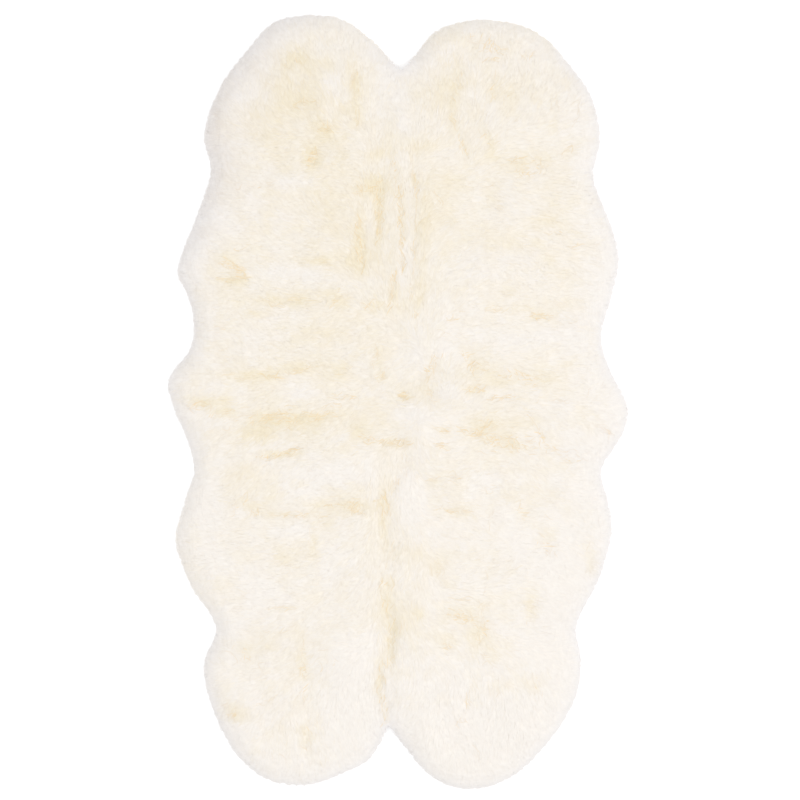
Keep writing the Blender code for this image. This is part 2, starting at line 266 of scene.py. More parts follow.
# Patches of whiter (+) or creamier (-) wool: x, y, half width, half height (mm), amount
PATCHES = (
    # upper left pelt
    # The next two rows are creamier, which also darkens the painted shade of the upper left rim.
    (-420, 640, 46, 150, -0.65),
    (-330, 800, 50, 50, -0.2),
    (-240, 792, 34, 24, -0.65),
    (-180, 780, 90, 26, -0.4),
    (-100, 745, 20, 46, -0.95),
    (-95, 675, 14, 36, -0.5),
    (-215, 697, 48, 30, -0.55),
    (-165, 628, 26, 22, -0.8),
    (-197, 565, 20, 30, -1.5),
    (-260, 640, 90, 95, -0.4),
    (-152, 735, 22, 26, 0.6),
    (-38, 645, 20, 80, 0.25),
    (12, 665, 18, 80, 0.4),
    (-225, 510, 62, 18, 0.8),
    (-335, 462, 56, 24, 0.3),
    (-400, 420, 40, 30, 0.1),
    (-150, 440, 56, 78, -0.5),
    (-190, 328, 56, 12, -0.8),
    (-270, 302, 66, 20, 0.7),
    (-150, 285, 70, 16, 0.45),
    (-395, 332, 26, 14, -0.75),
    (-375, 282, 30, 13, -1.0),
    (-255, 236, 75, 15, -1.0),
    (-325, 203, 30, 10, -0.9),
    (-140, 238, 30, 22, -0.7),
    (-50, 222, 38, 20, -1.0),
    (-170, 160, 110, 26, -0.4),
    (-340, 155, 100, 18, 0.35),
    (-345, 62, 70, 15, -1.0),
    (-230, 78, 56, 16, -1.0),
    (-125, 76, 18, 20, -0.9),
    (-42, 95, 12, 26, -0.6),
    (-215, 22, 66, 10, 0.6),
    (-440, 8, 62, 12, -0.8),
    # along the upper centre seam
    (-88, 378, 14, 74, -1.05),
    (-44, 440, 13, 84, -1.2),
    (-14, 400, 15, 100, -0.4),
    (-55, 500, 38, 26, -1.3),
    (-93, 330, 26, 24, -1.4),
    (-45, 573, 26, 11, -0.7),
    (50, 590, 60, 14, -0.6),
    (12, 430, 10, 56, -0.7),
    (38, 515, 10, 20, -0.8),
    (62, 420, 22, 80, -0.9),
    (50, 290, 16, 80, -0.65),
    (110, 508, 26, 30, -0.6),
    (-5, 250, 8, 40, -0.7),
    # upper right pelt
    (195, 835, 50, 24, -0.6),
    (90, 715, 50, 46, -0.6),
    (132, 725, 16, 22, -0.4),
    (126, 655, 11, 50, -0.6),
    (232, 722, 26, 20, -0.65),
    (265, 690, 18, 20, -0.6),
    (215, 590, 16, 44, -0.6),
    (155, 582, 12, 25, -0.6),
    (292, 555, 46, 20, -0.5),
    (340, 420, 46, 20, -0.6),
    (258, 380, 50, 28, -0.4),
    (160, 310, 66, 60, 0.2),
    (270, 300, 190, 190, -0.15),
    (325, 200, 20, 8, -0.8),
    (285, 217, 60, 9, -0.4),
    (350, 152, 70, 16, 0.9),
    (250, 150, 60, 22, 0.3),
    (45, 92, 15, 42, 0.4),
    (112, 75, 24, 46, 0.25),
    (190, 72, 44, 38, -0.7),
    (235, 48, 32, 14, -0.9),
    (170, 28, 20, 14, -0.9),
    (60, 45, 24, 30, -0.5),
    (15, 14, 11, 8, -1.6),
    (28, -25, 34, 22, 0.5),
    (350, 60, 70, 24, -0.5),
    # lower left pelt
    (-450, -5, 26, 11, -1.1),
    (-400, -22, 26, 14, -0.9),
    (-305, -42, 34, 22, -0.75),
    (-215, -40, 46, 18, -1.0),
    (-140, -28, 30, 12, -0.6),
    (-330, -75, 40, 18, -0.8),
    (-240, -50, 130, 44, -0.55),
    (-275, -118, 48, 9, -1.6),
    (-140, -105, 40, 14, -0.4),
    (-85, -60, 46, 28, -0.5),
    (-5, -92, 30, 8, -1.1),
    (-150, -165, 74, 20, 1.3),
    (-75, -125, 26, 30, 0.7),
    (-360, -165, 42, 24, -0.6),
    (-285, -195, 15, 30, -0.6),
    (-330, -240, 22, 14, -0.9),
    (-360, -222, 16, 12, -0.7),
    (-120, -236, 76, 12, -0.7),
    (-95, -247, 22, 14, -0.5),
    (-34, -228, 14, 34, -0.65),
    (-195, -205, 56, 9, 0.5),
    (-255, -257, 60, 6, -0.6),
    (-240, -292, 56, 14, 0.6),
    (-190, -310, 9, 50, -0.7),
    (-34, -295, 11, 60, -0.7),
    (-12, -352, 14, 22, -0.5),
    (-270, -355, 30, 18, -0.5),
    (-315, -435, 66, 38, 0.45),
    (-430, -250, 40, 130, 0.4),
    (-260, -370, 170, 120, -0.12),
    (-265, -475, 22, 7, -0.5),
    (-25, -440, 18, 46, -0.8),
    (-38, -490, 34, 56, -0.5),
    (-8, -520, 13, 16, -0.9),
    (-15, -570, 12, 42, -0.9),
    # The next two rows are creamier and darker along the crease of the lower centre seam: partly the wool's
    # colour, partly painted shade.
    (-40, -650, 10, 56, -1.1),
    (-28, -722, 9, 24, -1.4),
    (-262, -532, 32, 12, -0.5),
    (-218, -590, 12, 60, -0.6),
    (-345, -565, 55, 22, -0.6),
    (-405, -612, 11, 40, -0.4),
    (-110, -620, 42, 90, 1.0),
    (-60, -545, 16, 40, 0.6),
    (-367, -714, 28, 26, -1.0),
    (-402, -710, 24, 28, -0.7),
    (-215, -775, 14, 32, -0.6),
    (-110, -760, 54, 50, 0.6),
    # lower right pelt
    (48, -32, 42, 30, 0.5),
    (102, -62, 22, 6, -0.9),
    (190, -56, 34, 24, -0.5),
    (242, -85, 34, 22, -0.6),
    (277, -100, 30, 12, -0.8),
    (225, -55, 84, 38, -0.5),
    (28, -240, 26, 52, 1.1),
    (120, -252, 44, 18, -0.5),
    (285, -247, 20, 14, -0.8),
    (290, -318, 24, 30, 1.0),
    (345, -303, 20, 24, -0.9),
    (345, -382, 34, 28, 1.0),
    (405, -330, 18, 32, 0.8),
    (446, -365, 20, 56, -0.9),
    (48, -347, 52, 22, -0.6),
    (95, -382, 28, 24, -0.75),
    (25, -490, 40, 34, -0.6),
    (170, -475, 44, 28, -0.5),
    (110, -440, 110, 110, -0.2),
    (185, -527, 27, 28, -0.85),
    (125, -545, 50, 18, -0.5),
    (217, -582, 18, 28, -0.8),
    (305, -468, 17, 40, -0.9),
    (300, -590, 22, 24, 0.6),
    (225, -652, 20, 24, -0.7),
    (310, -648, 30, 20, -0.5),
    (200, -765, 170, 84, 0.6),
    (372, -520, 46, 170, 0.5),
)

# Where the wool doesn't just lie away from the seams: x, y, reach (mm), direction of its tips (degrees)
LIES = (
    (-362, 428, 47, 205),
    (-227, 540, 70, 172),
    (-141, 703, 58, 120),
    (-111, 598, 36, 180),
    (-227, 93, 70, 195),
    (-390, 237, 60, 172),
    (-180, 237, 60, 170),
    (-227, 5, 60, 190),
    (-52, -79, 28, 160),
    (-262, -116, 60, 195),
    (-239, -438, 30, 150),
    (-343, -391, 50, 178),
    (-41, -333, 47, 240),
    (-64, -403, 36, 212),
    (-367, -589, 36, 125),
    (-169, -577, 36, 230),
    (-87, -671, 70, 268),
    (-250, 843, 50, 92),
    (-402, 319, 40, 166),
    (-52, 300, 50, 92),
    (-29, 470, 50, 90),
    (64, 237, 58, 88),
    (239, 347, 36, 30),
    (355, 377, 58, 0),
    (343, 203, 60, -8),
    (76, 93, 28, 40),
    (227, 56, 47, -24),
    (169, -65, 40, 2),
    (197, -61, 20, 35),
    (483, -65, 28, -30),
    (262, 545, 58, 8),
    (157, 633, 60, 90),
    (239, 703, 60, 88),
    (92, -387, 20, 275),
    (146, -508, 47, -10),
    (99, -182, 60, 4),
    (134, -251, 50, 0),
    (297, -601, 36, 300),
    (192, -694, 95, 272),
    (76, -694, 60, 265),
    (-12, -182, 40, 262),
    (-12, -461, 50, 270),
)


# ---------------------------------------------------------------- fields over the floor


def between(field, i, j, f, g):
    """The field between four cells, f of the way from column i to the next and g from row j."""
    low = field[j, i] * (1 - f) + field[j, i + 1] * f
    high = field[j + 1, i] * (1 - f) + field[j + 1, i + 1] * f
    return low * (1 - g) + high * g


def cloud(x, y, size, seed):
    """Smooth noise from -1 to 1, with features of about that size."""
    table = np.random.default_rng(seed).uniform(-1, 1, (97, 97))
    u = np.asarray(x) / size + 43.7
    v = np.asarray(y) / size + 41.3
    i = np.floor(u).astype(int)
    j = np.floor(v).astype(int)
    f = u - i
    g = v - j
    f = f**3 * (f * (f * 6 - 15) + 10)
    g = g**3 * (g * (g * 6 - 15) + 10)
    return between(table, i % 96, j % 96, f, g)


def blurred(field, sigma):
    """The field smoothed with a Gaussian of that many cells."""
    reach = int(3 * sigma) + 1
    taps = np.exp(-(np.arange(-reach, reach + 1) ** 2) / (2 * sigma**2))
    taps /= taps.sum()
    for axis in (0, 1):
        padded = np.pad(field, [(reach, reach) if a == axis else (0, 0) for a in (0, 1)], mode="edge")
        length = field.shape[axis]
        field = sum(tap * padded.take(np.arange(k, k + length), axis) for k, tap in enumerate(taps))
    return field


def closed(field, reach):
    """The field with its valleys filled that are narrower than twice that many cells."""
    for pick in (np.maximum, np.minimum):
        for axis in (0, 1):
            found = field
            for shift in range(-reach, reach + 1):
                found = pick(found, np.roll(field, shift, axis))
            field = found
    return blurred(field, 2)


def smoothstep(value, low, high):
    """From 0 at the low value to 1 at the high one, level at both ends."""
    share = np.clip((value - low) / (high - low), 0, 1)
    return share * share * (3 - 2 * share)


def bell(distance, reach, power=2):
    """1 at no distance, about a third at the reach and soon nothing after it."""
    return np.exp(-((distance / reach) ** power))


def hem_of(node):
    """The outline of a pelt's underside: x, y in order, counterclockwise."""
    bm = bmesh.new()
    bm.from_mesh(node.data)
    bmesh.ops.remove_doubles(bm, verts=bm.verts, dist=1e-6)
    bm.faces.index_update()
    under = {face.index for face in bm.faces if face.normal.z < -0.99}
    nexts = {}
    for face in bm.faces:
        for loop in face.loops:
            if face.index in under and any(f.index not in under for f in loop.edge.link_faces):
                # The underside's faces run clockwise seen from above.
                nexts[loop.link_loop_next.vert] = loop.vert
    # The outline starts at its corner nearest to the lower left, so it is the same each run.
    start = min(nexts, key=lambda vert: (round(vert.co.x + vert.co.y, 5), round(vert.co.x, 5)))
    order = [start]
    while nexts[order[-1]] is not start:
        order.append(nexts[order[-1]])
    points = np.array([v.co.xy for v in order])
    bm.free()
    return points


def resampled(loop, step):
    """Points of a closed outline, evenly spaced about a step apart."""
    ring = np.vstack([loop, loop[:1]])
    lengths = np.concatenate([[0], np.cumsum(np.linalg.norm(np.diff(ring, axis=0), axis=1))])
    count = int(round(lengths[-1] / step))
    at = np.arange(count) * lengths[-1] / count
    return np.column_stack([np.interp(at, lengths, ring[:, k]) for k in (0, 1)])


def area_in(loop):
    """The area inside an outline that runs counterclockwise."""
    x, y = loop.T
    return (np.dot(x, np.roll(y, -1)) - np.dot(y, np.roll(x, -1))) / 2


def staggered(low, high, step):
    """Points in rows, with every second row half a step further right."""
    xs, ys = np.meshgrid(np.arange(low[0], high[0], step), np.arange(low[1], high[1], ROW_STEP * step))
    return xs + (np.arange(len(xs))[:, None] % 2) * step / 2, ys


def tree_of(points):
    """A tree to find the nearest of the points in."""
    tree = KDTree(len(points))
    for k, (x, y) in enumerate(points):
        tree.insert((x, y, 0), k)
    tree.balance()
    return tree


class Ground:
    """What is known at each point of the floor: the fleece's height, the distance to the rim, the pelt."""

    def __init__(self):
        low, high = CAD_BOX
        self.low = np.array(low[:2]) - MARGIN
        shape = ((np.array(high[:2]) + MARGIN - self.low) / PITCH).astype(int) + 1
        self.x, self.y = np.meshgrid(*(self.low[k] + PITCH * np.arange(shape[k]) for k in (0, 1)))
        self.hems = [hem_of(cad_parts[name]) for name in PELTS]
        self.read_solids()
        self.find_rim()
        self.lay_height()

    def at(self, field, x, y):
        """The field between its cells."""
        u = np.clip((x - self.low[0]) / PITCH, 0, field.shape[1] - 1.001)
        v = np.clip((y - self.low[1]) / PITCH, 0, field.shape[0] - 1.001)
        i = u.astype(int)
        j = v.astype(int)
        return between(field, i, j, u - i, v - j)

    def nearest(self, field, x, y):
        """The field at the nearest cell."""
        i = np.clip(np.rint((x - self.low[0]) / PITCH).astype(int), 0, field.shape[1] - 1)
        j = np.clip(np.rint((y - self.low[1]) / PITCH).astype(int), 0, field.shape[0] - 1)
        return field[j, i]

    def read_solids(self):
        """The height of the solids' top and which pelt it is, by rays from above."""
        top = np.zeros(self.x.shape)
        owner = np.full(self.x.shape, -1)
        down = Vector((0, 0, -1))
        for number, name in enumerate(PELTS):
            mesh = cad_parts[name].data
            tree = BVHTree.FromPolygons([v.co for v in mesh.vertices], [p.vertices for p in mesh.polygons])
            low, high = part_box(name)
            inside = (self.x >= low[0]) & (self.x <= high[0]) & (self.y >= low[1]) & (self.y <= high[1])
            for j, i in zip(*np.nonzero(inside)):
                hit = tree.ray_cast(Vector((self.x[j, i], self.y[j, i], 1)), down)[0]
                if hit is not None:
                    top[j, i] = hit.z
                    owner[j, i] = number
        # The gap between two pelts takes its height and its pelt from the cell beside it.
        for axis in (0, 1):
            before, after = np.roll(owner, 1, axis), np.roll(owner, -1, axis)
            gap = (owner < 0) & (before >= 0) & (after >= 0)
            top[gap] = np.roll(top, 1, axis)[gap]
            owner[gap] = before[gap]
        self.top = top
        self.owner = owner

    def find_rim(self):
        """The distances in from the outer rim, negative outside it, and to a seam, and the way out."""
        dense = [resampled(hem, 2 * MM) for hem in self.hems]
        trees = [tree_of(points) for points in dense]
        rim, seam = [], []
        for number, points in enumerate(dense):
            others = [tree for k, tree in enumerate(trees) if k != number]
            for x, y in points:
                joined = any(tree.find((x, y, 0))[2] < SEAM_WIDTH for tree in others)
                (seam if joined else rim).append((x, y))
        self.seam = self.distance(seam)
        self.depth = self.distance(rim)
        self.depth[self.owner < 0] *= -1
        self.depth = blurred(self.depth, 1.9) + 0.8 * MM
        soft = blurred(self.depth, 3.0)
        out_y, out_x = np.gradient(-soft, PITCH)
        size = np.hypot(out_x, out_y) + 1e-9
        self.out_x = out_x / size
        self.out_y = out_y / size

    def distance(self, points):
        """How far each cell is from the nearest of the points."""
        tree = tree_of(points)
        found = [tree.find((x, y, 0))[2] for x, y in zip(self.x.ravel(), self.y.ravel())]
        return np.array(found).reshape(self.x.shape)

    def lay_height(self):
        """The fleece's height: the solids' top with its facets smoothed, fine lumps and furrows added."""
        inside = (self.owner >= 0).astype(float)
        smooth = blurred(self.top * inside, 1.8) / np.maximum(blurred(inside, 1.8), 1e-3)
        height = np.where(inside > 0, smooth, np.clip(5 * MM + 0.8 * self.depth, 1.2 * MM, None))
        # Wool from both sides closes over a seam, less so along the lower centre seam.
        open_seam = smoothstep(-self.y, 60 * MM, 120 * MM) * bell(self.x, 60 * MM)
        open_seam *= 0.25 + 0.3 * smoothstep(-self.y, 450 * MM, 600 * MM)
        over = (1.0 - open_seam) * bell(self.seam, 55 * MM, 4)
        height += over * (closed(height, 9) - height)
        full = smoothstep(self.depth, 8 * MM, 50 * MM)
        height -= full * furrows(self.x, self.y).parting * FURROW_DEPTH
        height += full * 1.3 * MM * cloud(self.x, self.y, 24 * MM, 5)
        height += full * 2.8 * MM * cloud(self.x, self.y, 62 * MM, 6)
        self.height = blurred(np.maximum(height, 1.2 * MM), 0.7)
        self.slope_y, self.slope_x = np.gradient(blurred(self.height, 1.0), PITCH)


Furrows = namedtuple("Furrows", "parting warmth curl")


def furrows(x, y):
    """How strongly the wool parts, is warm, and curls at each point."""
    found = [np.zeros(np.shape(x)) for _ in range(3)]
    # The places wander a little, so that none is a straight line.
    x = x + 5 * MM * cloud(x, y, 30 * MM, 21)
    y = y + 5 * MM * cloud(x, y, 30 * MM, 22)
    for mid_x, mid_y, length, width, turn, *amounts in PARTINGS:
        angle = math.radians(turn)
        away_x, away_y = x - mid_x * MM, y - mid_y * MM
        along = (away_x * math.cos(angle) + away_y * math.sin(angle)) / (length * MM)
        across = (away_y * math.cos(angle) - away_x * math.sin(angle)) / (width * MM)
        share = np.exp(-(along**4) - across**2)
        for field, amount in zip(found, amounts):
            np.maximum(field, amount * share, out=field)
    return Furrows(*found)


def whiteness(x, y):
    """From 0, cream, to 1, white."""
    # Whiter towards the lower right and along the rim
    tone = 0.73 + 0.2 * x - 0.185 * y
    tone = tone + 0.25 * bell(ground.at(ground.depth, x, y), 80 * MM)
    for mid_x, mid_y, half_x, half_y, amount in PATCHES:
        away = ((x / MM - mid_x) / half_x) ** 2 + ((y / MM - mid_y) / half_y) ** 2
        tone = tone + 0.57 * amount * np.exp(-away)
    tone = tone + 0.13 * cloud(x, y, 85 * MM, 31) + 0.15 * cloud(x, y, 34 * MM, 32)
    return tone + 0.06 * cloud(x, y, 14 * MM, 33)


def rim_painted_shade(x, y, depth):
    """How much of the rim's greyer colour shows, which is painted shade over more neutral wool: most at the
    upper left, least at the lower left and top.
    """
    left = smoothstep(-x, 120 * MM, 330 * MM)
    upper = smoothstep(y, 200 * MM, 450 * MM)
    top = smoothstep(y, 760 * MM, 850 * MM) * smoothstep(x, -260 * MM, -40 * MM)
    reach = (36 + 44 * left * upper) * MM
    amount = 1 - 0.6 * left * bell(y + 330 * MM, 190 * MM) - 0.9 * top
    return amount * bell(depth, reach)


def flow(x, y):
    """The way the wool lies seen from above, as an angle, and how firmly, from 0 to 1."""
    depth = np.maximum(ground.at(ground.depth, x, y), 0)
    # The line along which the wool parts ways bends to the right a little above the crossing.
    bend = 104 * MM * bell(y - 50 * MM, 95 * MM)
    x_mid = x + 4 * MM - bend + 16 * MM * cloud(x, y, 110 * MM, 46)
    y_mid = y - 50 * MM
    side = np.tanh(x_mid / (45 * MM))
    end = np.tanh(y_mid / (70 * MM))
    lobe = smoothstep(np.abs(y), 520 * MM, 780 * MM)
    seam = bell(x_mid, 68 * MM, 4) * smoothstep(np.abs(y_mid), 70 * MM, 190 * MM)
    way_x = side * (1 - 0.85 * lobe) * (1 - 0.9 * seam)
    way_y = end * (0.12 + lobe + seam)
    for mid_x, mid_y, reach, turn in LIES:
        share = 1.4 * np.exp(-((x / MM - mid_x) ** 2 + (y / MM - mid_y) ** 2) / reach**2)
        way_x = way_x + share * math.cos(math.radians(turn))
        way_y = way_y + share * math.sin(math.radians(turn))
    rim = bell(depth, 58 * MM)
    way_x = way_x * (1 - 0.85 * rim) + 2.2 * rim * ground.at(ground.out_x, x, y)
    way_y = way_y * (1 - 0.85 * rim) + 2.2 * rim * ground.at(ground.out_y, x, y)
    whorl = 1.2 * np.exp(-(x_mid**2 + y_mid**2) / (70 * MM) ** 2)
    turn = whorl + 0.45 * cloud(x, y, 120 * MM, 41) + 0.4 * cloud(x, y, 48 * MM, 42)
    turn = turn + 0.25 * cloud(x, y, 20 * MM, 43)
    firm = np.clip(np.hypot(way_x, way_y), 0, 1)
    return np.arctan2(way_y, way_x) + turn * (1 - 0.8 * rim), firm


# ---------------------------------------------------------------- locks


def tufts(rng):
    """The middles of the tufts, spread unevenly over the rug."""
    xs, ys = staggered(ground.low, (ground.x.max(), ground.y.max()), TUFT)
    xs = xs + rng.uniform(-0.38, 0.38, xs.shape) * TUFT
    ys = ys + rng.uniform(-0.38, 0.38, ys.shape) * TUFT
    return xs, ys


def nearest_tuft(x, y):
    """The middle of the tuft nearest to each point, and how far it is."""
    xs, ys = tuft_table
    row = np.rint((y - ground.low[1]) / (ROW_STEP * TUFT)).astype(int)
    best = np.full(x.shape, np.inf)
    found_x, found_y = np.zeros(x.shape), np.zeros(x.shape)
    for up in (-1, 0, 1):
        j = np.clip(row + up, 0, xs.shape[0] - 1)
        column = np.rint((x - ground.low[0] - (j % 2) * TUFT / 2) / TUFT).astype(int)
        for right in (-1, 0, 1):
            i = np.clip(column + right, 0, xs.shape[1] - 1)
            gap = (xs[j, i] - x) ** 2 + (ys[j, i] - y) ** 2
            nearer = gap < best
            best = np.where(nearer, gap, best)
            found_x = np.where(nearer, xs[j, i], found_x)
            found_y = np.where(nearer, ys[j, i], found_y)
    return found_x, found_y, np.sqrt(best)


def roots(pelt, count, kind, rng):
    """Where a pelt's locks of one kind grow: more of them where the fleece is steep."""
    low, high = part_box(PELTS[pelt])
    x = rng.uniform(low[0], high[0], count * 12)
    y = rng.uniform(low[1], high[1], count * 12)
    depth = ground.at(ground.depth, x, y)
    steep = np.hypot(ground.at(ground.slope_x, x, y), ground.at(ground.slope_y, x, y))
    inside = (ground.nearest(ground.owner, x, y) == pelt) & (depth > 0.5 * MM)
    inside &= depth < RIM_BAND if kind is HANGING else depth >= RIM_BAND - 4 * MM
    share = np.sqrt(1 + np.minimum(steep, 3) ** 2) / math.sqrt(10)
    if kind is not HANGING:
        share = share * 3
    if kind is CURLED:
        share = share * furrows(x, y).curl
    chosen = np.nonzero(inside & (rng.uniform(0, 1, x.shape) < share))[0]
    chosen = spread(x, y, chosen, count)
    return x[chosen], y[chosen]


def spread(x, y, chosen, count):
    """Thins the points to that number, dropping first those that share a small cell with others."""
    cell = 2.6 * MM
    # Each cell has a key of its own.
    key = np.floor(x[chosen] / cell).astype(int) * 100003 + np.floor(y[chosen] / cell).astype(int)
    order = np.argsort(key, kind="stable")
    sorted_key = key[order]
    first = np.concatenate([[True], sorted_key[1:] != sorted_key[:-1]])
    starts = np.maximum.accumulate(np.where(first, np.arange(len(order)), 0))
    rank = np.empty(len(order), int)
    rank[order] = np.arange(len(order)) - starts
    return chosen[np.argsort(rank, kind="stable")[:count]]


def stray_roots(pelt, count, rng):
    """Where locks have come loose in the warm partings, which way they lie, and how warm they are."""
    rows = np.array(PARTINGS)
    _, _, length, width, _, _, warmth, _ = rows.T
    share = warmth * (12 + length) * np.sqrt(4 + width)
    row = rng.choice(len(rows), count * 8, p=share / share.sum())
    mid_x, mid_y, length, width, turn, _, warmth, _ = rows[row].T
    turn = np.radians(turn)
    along = rng.uniform(-1, 1, len(row)) * length
    across = rng.normal(0, 0.5, len(row)) * width
    x = (mid_x + along * np.cos(turn) - across * np.sin(turn)) * MM
    y = (mid_y + along * np.sin(turn) + across * np.cos(turn)) * MM
    # Locks in a narrow parting lie along it, those in a wide one more any way.
    heading = turn + np.where(length > 2.2 * width, 0.25, 0.8) * rng.normal(0, 1, len(row))
    good = (ground.nearest(ground.owner, x, y) == pelt) & (ground.at(ground.depth, x, y) > 20 * MM)
    chosen = np.nonzero(good)[0][:count]
    return x[chosen], y[chosen], heading[chosen], warmth[chosen]


class Locks:
    """The locks of one kind on a pelt: where each grows, which way it lies, and its size."""

    def __init__(self, pelt, count, kind, seed):
        self.kind = kind
        self.rng = np.random.default_rng(seed)
        if kind is STRAY:
            self.x, self.y, way, warmth = stray_roots(pelt, count, self.rng)
        else:
            self.x, self.y = roots(pelt, count, kind, self.rng)
        self.count = len(self.x)
        self.share = np.array([row[0] for row in kind] + [1.0])
        self.depth = np.maximum(ground.at(ground.depth, self.x, self.y), 0)
        self.near_rim = bell(self.depth, RIM_CALM)
        self.lay()
        self.set_size()
        self.bare()
        if kind is CURLED:
            self.curl()
        self.width = np.where(self.bared > 0, self.uniform(BARED_WIDTH) * MM, self.width)
        self.bend = np.where(self.bared > 0, 2.2 * self.bend, self.bend)
        if kind is STRAY:
            self.work_loose(way, warmth)
        self.end_at_rim()
        self.join_tuft()
        self.lift = self.uniform((-0.4, 0.7)) * MM
        self.lift = self.lift + np.where(self.top, 0.7 * MM, 0) + np.where(self.bared > 0, 0.9 * MM, 0)
        self.phase = self.uniform((0, 2 * math.pi))

    def uniform(self, limits):
        """A number between the limits for each lock."""
        return self.rng.uniform(*limits, self.count)

    def normal(self, spread=1):
        """A number around 0 for each lock."""
        return self.rng.normal(0, spread, self.count)

    def lay(self):
        """Which way each lock lies, and how much it bends and waves."""
        x, y = self.x, self.y
        rough = 0.3 + 0.4 * cloud(x, y, 90 * MM, 51) + 0.25 * cloud(x, y, 35 * MM, 52) + furrows(x, y).curl
        self.rough = np.clip(rough, 0, 1)
        heading, self.firm = flow(x, y)
        stray = 0.1 + 0.25 * self.rough * (1 - self.near_rim) + 1.5 * (1 - self.firm) ** 2
        self.heading = heading + self.normal() * stray
        self.bend = self.normal() * (0.2 + 0.4 * self.rough)
        self.wave = self.normal() * (0.15 + 0.4 * self.rough)

    def set_size(self):
        """How long and wide each lock is.  Some are long and thin and lie on top of the others."""
        self.length = self.uniform(LENGTH) * MM
        lying = 0.72 + 0.2 * self.near_rim + 0.1 * cloud(self.x, self.y, 70 * MM, 45)
        self.reach = self.length * lying
        self.width = self.uniform(WIDTH) * MM
        self.top = (self.uniform((0, 1)) < TOP_SHARE) & (self.kind is PLAIN)
        self.reach = np.where(self.top, self.reach * self.uniform((1.3, 1.9)), self.reach)
        self.width = np.where(self.top, self.uniform(TOP_WIDTH) * MM, self.width)
        # The outer part of a lock is the part that is seen.
        self.seen_x = self.x + 0.65 * self.reach * np.cos(self.heading)
        self.seen_y = self.y + 0.65 * self.reach * np.sin(self.heading)

    def bare(self):
        """Only some of the locks in a warm place show the deeper, warmer wool."""
        streak = furrows(self.seen_x, self.seen_y).warmth * (1 + 0.8 * cloud(self.x, self.y, 13 * MM, 61))
        self.bared = np.where(streak > self.uniform((0.4, 2.6)), self.uniform((0.7, 1.0)), 0)

    def curl(self):
        self.bend = self.normal() * 0.8
        self.wave = self.rng.choice((-1.0, 1.0), self.count) * self.uniform((0.9, 1.7))
        self.width = self.uniform(CURLED_WIDTH) * MM

    def work_loose(self, way, warmth):
        """Locks that have come loose lie along their parting, with their middles in it."""
        self.heading = way
        self.reach = self.uniform(STRAY_REACH) * MM
        self.width = self.uniform(STRAY_WIDTH) * MM
        self.wave = self.normal(0.45)
        self.bared = np.clip(warmth * self.uniform((0.3, 0.8)), 0, 1)
        self.x = self.x - 0.5 * self.reach * np.cos(self.heading)
        self.y = self.y - 0.5 * self.reach * np.sin(self.heading)

    def end_at_rim(self):
        """A tip passes the rim by a few millimetres at most.  What is left of the lock hangs down there."""
        past = self.uniform((0, 1)) ** 2 * (3.6 + 1.6 * cloud(self.x, self.y, 40 * MM, 53)) * MM
        out_x = ground.at(ground.out_x, self.x, self.y)
        out_y = ground.at(ground.out_y, self.x, self.y)
        outward = np.maximum(np.cos(self.heading) * out_x + np.sin(self.heading) * out_y, 0.05)
        whole = self.reach
        self.reach = np.minimum(whole, np.maximum((self.depth + past) / outward, 3 * MM))
        self.hang = self.uniform((0.1, 0.7)) * (whole - self.reach)

    def join_tuft(self):
        """Each lock leans to the middle of its tuft, unless the wool lies another way there."""
        self.tuft_x, self.tuft_y, self.off_tuft = nearest_tuft(self.x, self.y)
        self.tuft_way = flow(self.tuft_x, self.tuft_y)[0]
        self.gather = np.zeros(self.count)
        if self.kind is not STRAY:
            alike = np.clip(np.cos(self.tuft_way - self.heading), 0, 1)
            self.gather = (0.12 + 0.35 * self.rough) * (1 - self.near_rim) * alike

    def path(self):
        """The middle of each lock, from its root to its tip."""
        places = np.empty((self.count, len(self.share), 3))
        x, y = self.x, self.y
        before = 0.0
        for k, t in enumerate(self.share):
            step = self.reach * (t - before)
            turn = self.heading + self.bend * (t - 0.3) + self.wave * np.sin(5.5 * t + self.phase)
            x = x + np.cos(turn) * step
            y = y + np.sin(turn) * step
            pull = self.gather * t**1.5
            tuft_x = self.tuft_x + np.cos(self.tuft_way) * self.reach * t
            tuft_y = self.tuft_y + np.sin(self.tuft_way) * self.reach * t
            places[:, k, 0] = x * (1 - pull) + tuft_x * pull
            places[:, k, 1] = y * (1 - pull) + tuft_y * pull
            places[:, k, 2] = self.height(places[:, k, 0], places[:, k, 1], t)
            before = t
        return places

    def height(self, x, y, t):
        """How high each lock lies at that share of its length."""
        base = ground.at(ground.height, x, y)
        full = smoothstep(base, 2 * MM, 26 * MM)
        if self.kind is STRAY:
            rise = 1.0 * MM * (0.3 + t * (1 - t))
        else:
            rise = -ROOT_DEPTH * (1 - t) ** 1.6 + (0.3 * MM + self.lift) * t
        rise = rise - self.gather * 0.8 * MM * np.clip(self.off_tuft / (TUFT * 0.62), 0, 1) ** 2
        height = base + rise * (0.25 + 0.75 * full)
        if self.kind is HANGING:
            height = height - np.minimum(height, self.hang) * smoothstep(t, 0.6, 1.0)
        return np.maximum(height, (0.9 + 0.9 * (1 - t)) * MM)


def unit(vectors, guard=0.0):
    """The vectors at length 1.  A small guard lets one of no length pass."""
    return vectors / (np.linalg.norm(vectors, axis=2, keepdims=True) + guard)


